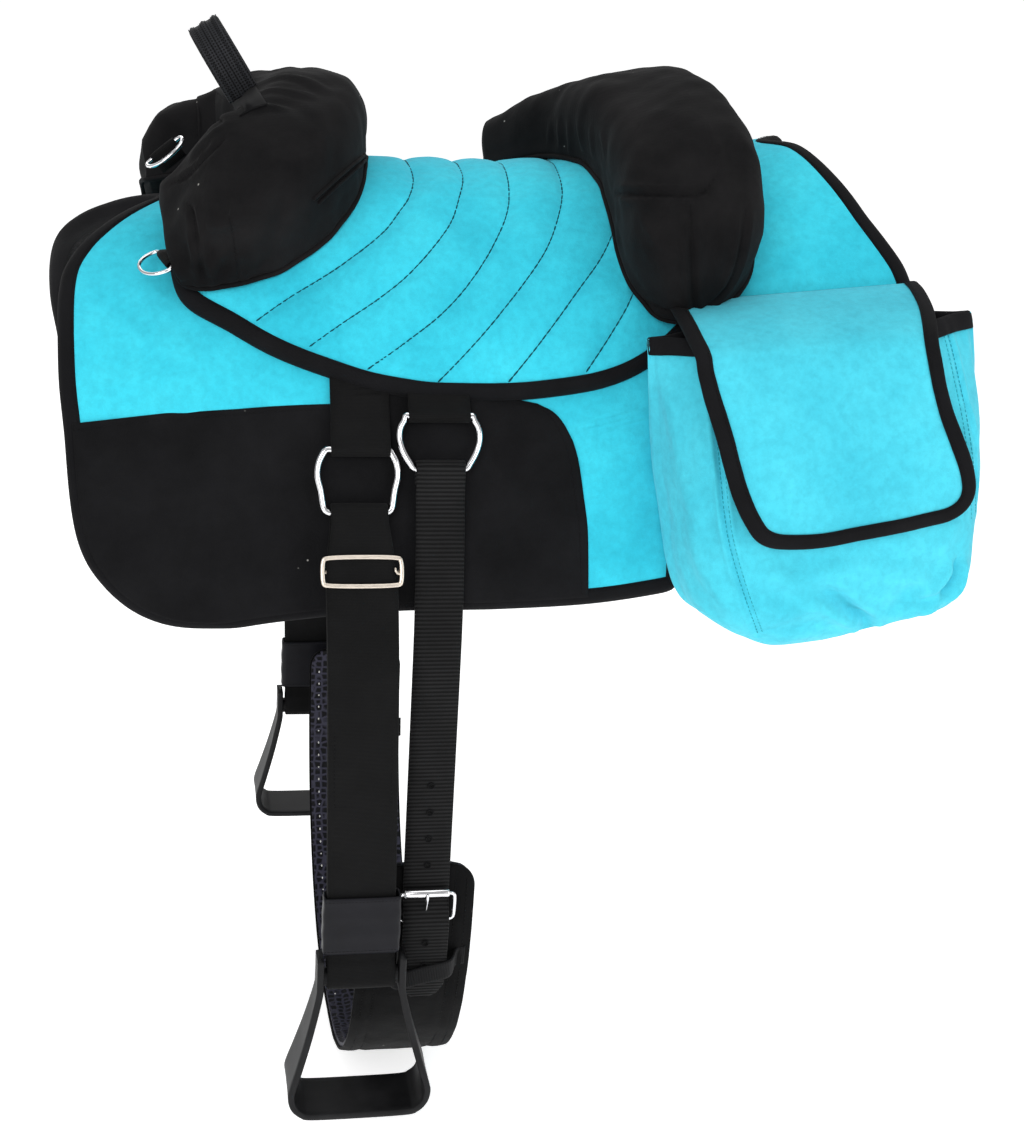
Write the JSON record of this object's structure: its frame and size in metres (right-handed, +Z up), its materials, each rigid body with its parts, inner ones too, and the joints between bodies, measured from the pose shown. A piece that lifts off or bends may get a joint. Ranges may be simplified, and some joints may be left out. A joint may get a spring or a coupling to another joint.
{
  "type": "bareback riding pad",
  "caption": "Draped riding pad with quilted seat, horseshoe pommel roll, cantle roll, side bags, strap-hung stirrups and a buckled girth loop",
  "frame": {"origin": "underside of the pad on its spine line, at mid length, where it lies on the horse's back", "axes": "+X towards the horse's tail, +Y towards its far (right) side, +Z up"},
  "size_m": [0.8542, 0.706, 1.0775],
  "materials": {
    "suede": "napped turquoise suede",
    "canvas": "matt black cotton canvas",
    "webbing": "woven black webbing",
    "fleece": "short black fleece",
    "felt": "dense felt",
    "foam": "open foam",
    "fibre": "loose fibre",
    "chrome": "polished",
    "brushed_nickel": "brushed, warm",
    "stirrup_plastic": "moulded, fine grain",
    "smooth_leather": "smooth, semi-gloss",
    "neoprene": "embossed honeycomb"
  },
  "bodies": {
    "root": {"lining_fleece": "fleece", "felt_core": "felt", "suede_cover": "suede", "edge_binding": "webbing", "wear_patch_near": "canvas", "wear_patch_far": "canvas", "seat_foam": "foam", "seat_cover": "suede", "seat_binding": "webbing", "pommel_cover": "canvas", "pommel_filling": "fibre", "cantle_cover": "canvas", "cantle_filling": "fibre", "girth_ring_near": "chrome", "girth_ring_far": "chrome", "stirrup_tab_near": "webbing", "stirrup_tab_far": "webbing", "girth_tab_near": "webbing", "girth_tab_far": "webbing", "bag_pouch_near": "suede", "bag_pouch_far": "suede"},
    "girth": {"girth_band": "canvas", "girth_neoprene": "neoprene", "billet_near": "webbing", "billet_far": "webbing", "buckle_frame_near": "chrome", "buckle_frame_far": "chrome", "elastic_keeper_near": "webbing", "elastic_keeper_far": "webbing"},
    "handle": {"handle": "webbing"},
    "ring_s_near": {"stirrup_ring_near": "chrome"},
    "strap_near": {"stirrup_strap_near": "webbing"},
    "slide_near": {"slide_buckle_near": "brushed_nickel"},
    "keeper_near": {"keeper_sleeve_near": "smooth_leather"},
    "stirrup_near": {"stirrup_near": "stirrup_plastic", "stirrup_bolt_near": "stirrup_plastic"},
    "roller_near": {"buckle_roller_near": "chrome"},
    "tongue_near": {"buckle_tongue_near": "chrome"},
    "flap_top_near": {"bag_flap_top_near": "suede"},
    "flap_near": {"bag_flap_near": "suede"},
    "pommel_ring_upper_near": {"pommel_ring_upper_near": "chrome"},
    "pommel_ring_lower_near": {"pommel_ring_lower_near": "chrome"},
    "ring_s_far": {"stirrup_ring_far": "chrome"},
    "strap_far": {"stirrup_strap_far": "webbing"},
    "slide_far": {"slide_buckle_far": "brushed_nickel"},
    "keeper_far": {"keeper_sleeve_far": "smooth_leather"},
    "stirrup_far": {"stirrup_far": "stirrup_plastic", "stirrup_bolt_far": "stirrup_plastic"},
    "roller_far": {"buckle_roller_far": "chrome"},
    "tongue_far": {"buckle_tongue_far": "chrome"},
    "flap_top_far": {"bag_flap_top_far": "suede"},
    "flap_far": {"bag_flap_far": "suede"},
    "pommel_ring_lower_far": {"pommel_ring_lower_far": "chrome"}
  },
  "joints": [
    {"name": "ring_swing_near", "type": "hinge", "parent": "root", "child": "ring_s_near", "pos_m": [-0.133, -0.23191, -0.19124], "axis": [-1, 0, 0], "range_deg": [0, 70]},
    {"name": "strap_swing_near", "type": "hinge", "parent": "ring_s_near", "child": "strap_near", "pos_m": [-0.132, -0.25222, -0.24345], "axis": [0, 1, 0], "range_deg": [-5, 5]},
    {"name": "slide_move_near", "type": "slide", "parent": "strap_near", "child": "slide_near", "axis": [0, -0.3917, -0.9201], "range_m": [-0.012, 0.02]},
    {"name": "keeper_move_near", "type": "slide", "parent": "strap_near", "child": "keeper_near", "axis": [-0.02, 0, 0.9998], "range_m": [0, 0.12]},
    {"name": "stirrup_swing_near", "type": "hinge", "parent": "strap_near", "child": "stirrup_near", "pos_m": [-0.123, -0.308, -0.685], "axis": [-1, 0, 0], "range_deg": [-10, 80]},
    {"name": "flap_lift_near", "type": "hinge", "parent": "root", "child": "flap_top_near", "pos_m": [0.285, -0.186, -0.058], "axis": [-0.995, 0, -0.0995], "range_deg": [0, 8]},
    {"name": "flap_open_near", "type": "hinge", "parent": "flap_top_near", "child": "flap_near", "pos_m": [0.285, -0.298, -0.078], "axis": [-0.995, 0, -0.0995], "range_deg": [0, 95]},
    {"name": "roller_spin_near", "type": "hinge", "parent": "girth", "child": "roller_near", "pos_m": [-0.059, -0.2804, -0.616], "axis": [1, 0, 0], "continuous": true},
    {"name": "tongue_turn_near", "type": "hinge", "parent": "girth", "child": "tongue_near", "pos_m": [-0.059, -0.2774, -0.646], "axis": [1, 0, 0], "range_deg": [0, 90]},
    {"name": "pommel_ring_upper_swing_near", "type": "hinge", "parent": "root", "child": "pommel_ring_upper_near", "pos_m": [-0.301, -0.058, 0.042], "axis": [-0.7715, -0.0802, -0.6312], "range_deg": [0, 80]},
    {"name": "pommel_ring_lower_swing_near", "type": "hinge", "parent": "root", "child": "pommel_ring_lower_near", "pos_m": [-0.3, -0.139, -0.043], "axis": [-0.3155, 0.9253, 0.2103], "range_deg": [0, 70]},
    {"name": "ring_swing_far", "type": "hinge", "parent": "root", "child": "ring_s_far", "pos_m": [-0.133, 0.23191, -0.19124], "axis": [1, 0, 0], "range_deg": [0, 70]},
    {"name": "strap_swing_far", "type": "hinge", "parent": "ring_s_far", "child": "strap_far", "pos_m": [-0.132, 0.25222, -0.24345], "axis": [0, 1, 0], "range_deg": [-5, 5]},
    {"name": "slide_move_far", "type": "slide", "parent": "strap_far", "child": "slide_far", "axis": [0, 0.3917, -0.9201], "range_m": [-0.012, 0.02]},
    {"name": "keeper_move_far", "type": "slide", "parent": "strap_far", "child": "keeper_far", "axis": [-0.02, 0, 0.9998], "range_m": [0, 0.12]},
    {"name": "stirrup_swing_far", "type": "hinge", "parent": "strap_far", "child": "stirrup_far", "pos_m": [-0.123, 0.308, -0.685], "axis": [1, 0, 0], "range_deg": [-10, 80]},
    {"name": "flap_lift_far", "type": "hinge", "parent": "root", "child": "flap_top_far", "pos_m": [0.285, 0.186, -0.058], "axis": [0.995, 0, 0.0995], "range_deg": [0, 8]},
    {"name": "flap_open_far", "type": "hinge", "parent": "flap_top_far", "child": "flap_far", "pos_m": [0.285, 0.298, -0.078], "axis": [0.995, 0, 0.0995], "range_deg": [0, 95]},
    {"name": "roller_spin_far", "type": "hinge", "parent": "girth", "child": "roller_far", "pos_m": [-0.059, 0.2804, -0.616], "axis": [1, 0, 0], "continuous": true},
    {"name": "tongue_turn_far", "type": "hinge", "parent": "girth", "child": "tongue_far", "pos_m": [-0.059, 0.2774, -0.646], "axis": [-1, 0, 0], "range_deg": [0, 90]},
    {"name": "pommel_ring_lower_swing_far", "type": "hinge", "parent": "root", "child": "pommel_ring_lower_far", "pos_m": [-0.318, 0.139, -0.043], "axis": [0.3155, 0.9253, -0.2103], "range_deg": [0, 70]},
    {"name": "girth_swing", "type": "hinge", "parent": "root", "child": "girth", "pos_m": [-0.059, 0, -0.20627], "axis": [0, 1, 0], "range_deg": [-5, 5]},
    {"name": "handle_tilt", "type": "hinge", "parent": "root", "child": "handle", "pos_m": [-0.229, 0, 0.094], "axis": [0, 1, 0], "range_deg": [-30, 12]}
  ]
}
